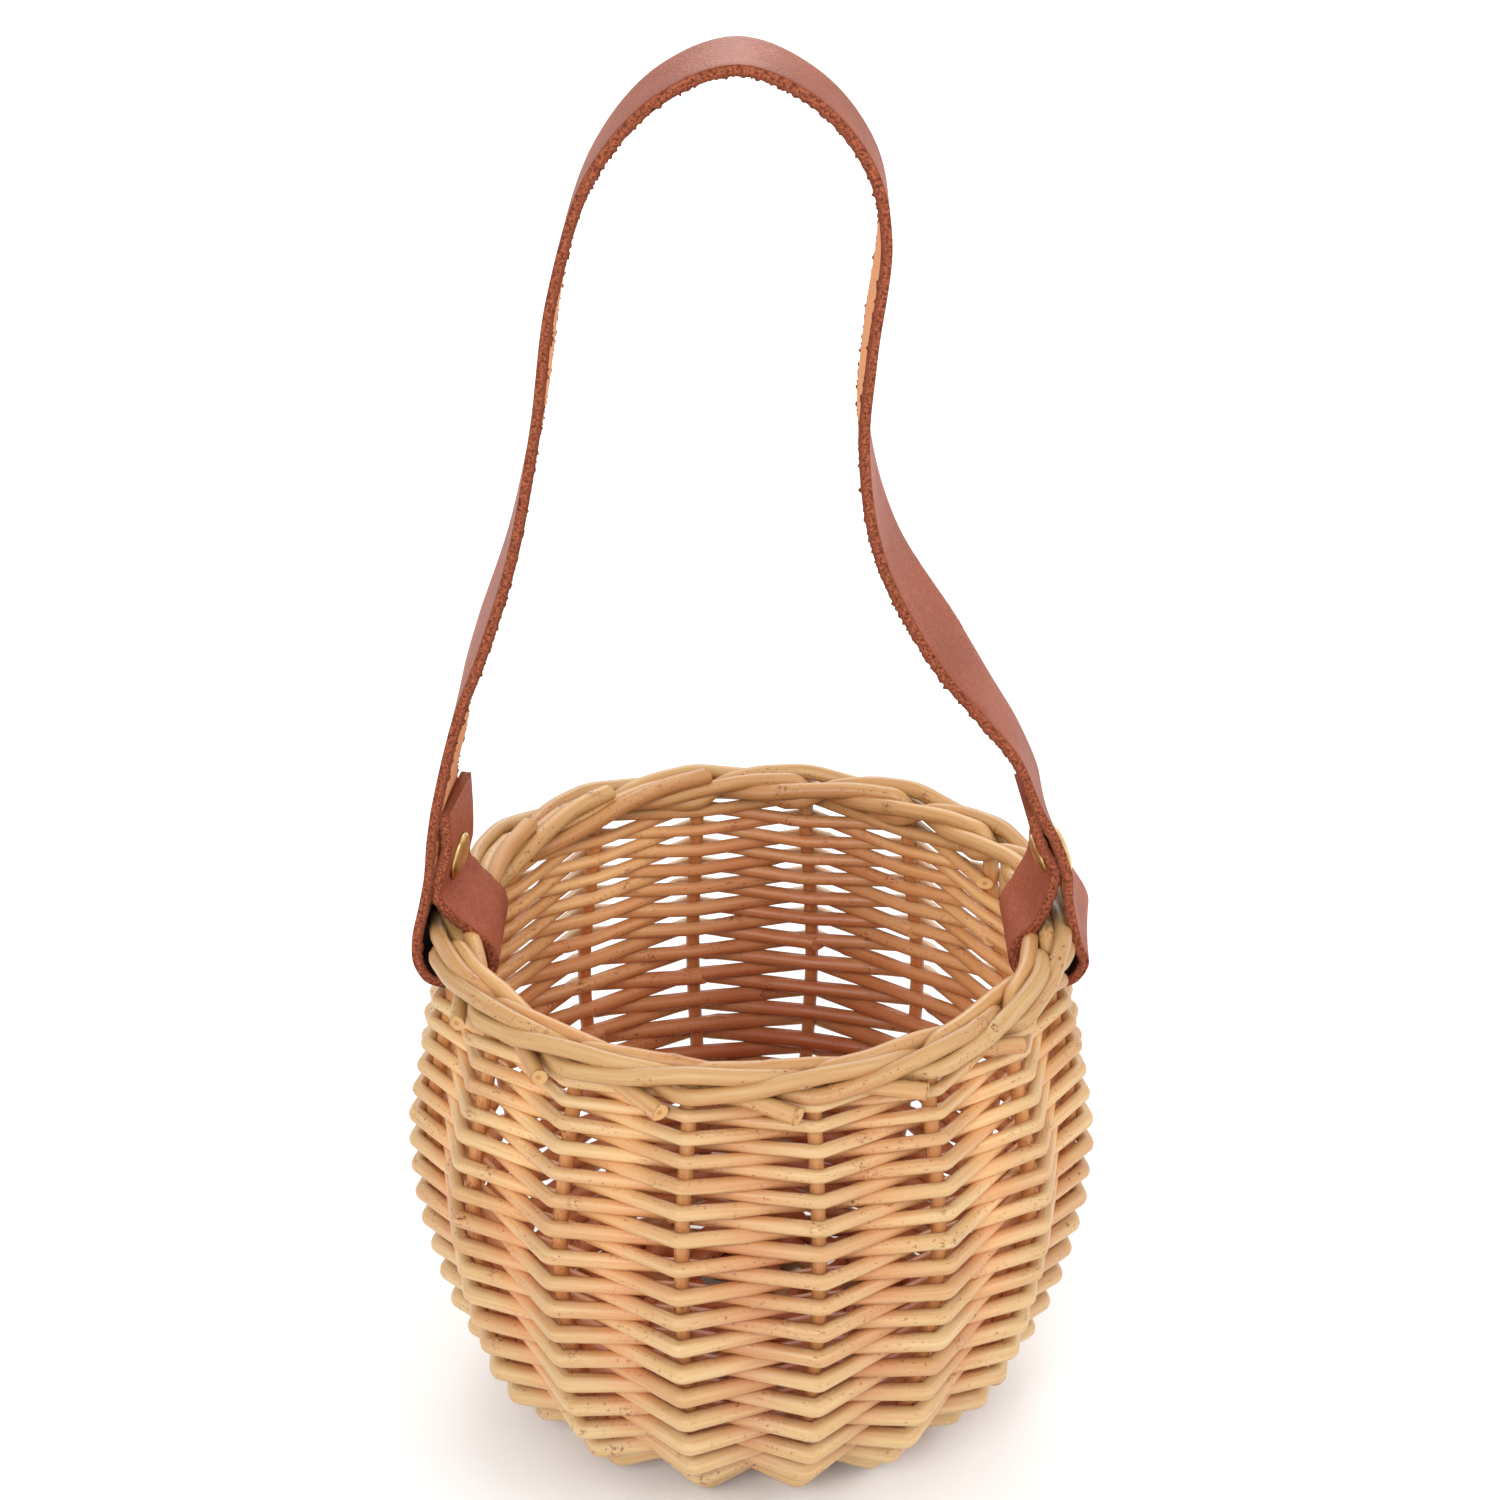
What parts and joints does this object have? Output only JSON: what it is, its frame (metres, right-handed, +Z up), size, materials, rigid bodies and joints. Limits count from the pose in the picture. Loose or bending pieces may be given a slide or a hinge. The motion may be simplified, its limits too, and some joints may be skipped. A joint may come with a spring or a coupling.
{
  "type": "handled basket",
  "caption": "Small round willow basket with a barrel-shaped woven wall, a plain rod border and a riveted leather strap handle that bends over to either side.",
  "frame": {"origin": "middle of the base, on the surface that the basket stands on", "axes": "+Z up, X along the strap from side to side with the sagging leg at +X, -Y towards the viewer"},
  "size_m": [0.1294, 0.1294, 0.2706],
  "materials": {
    "willow": "semi-gloss peeled rod",
    "leather": "pebbled grain outside, suede inside, raw cut edges",
    "brass": "antique, satin"
  },
  "bodies": {
    "basket": {"stake_rod_x1": "willow", "stake_rod_x2": "willow", "stake_rod_x3": "willow", "stake_rod_x4": "willow", "stake_rod_y1": "willow", "stake_rod_y2": "willow", "stake_rod_y3": "willow", "stake_rod_y4": "willow", "slath_binding": "willow", "weaver_a1": "willow", "weaver_a2": "willow", "weaver_a3": "willow", "weaver_a4": "willow", "weaver_a5": "willow", "weaver_a6": "willow", "weaver_a7": "willow", "weaver_a8": "willow", "weaver_a9": "willow", "weaver_a10": "willow", "weaver_a11": "willow", "weaver_a12": "willow", "weaver_b1": "willow", "weaver_b2": "willow", "weaver_b3": "willow", "weaver_b4": "willow", "weaver_b5": "willow", "weaver_b6": "willow", "weaver_b7": "willow", "weaver_b8": "willow", "weaver_b9": "willow", "weaver_b10": "willow", "weaver_b11": "willow", "weaver_b12": "willow", "strap_loop_left": "leather", "strap_loop_right": "leather", "rivet_left_post": "brass", "rivet_left_cap": "brass", "rivet_right_post": "brass", "rivet_right_cap": "brass"},
    "handle": {"strap_arch": "leather"}
  },
  "joints": [
    {"name": "handle_fold", "type": "hinge", "parent": "basket", "child": "handle", "pos_m": [0, 0, 0.13821], "axis": [1, 0, 0], "range_deg": [-94, 85], "stiffness_Nm_per_rad": 0.04}
  ]
}
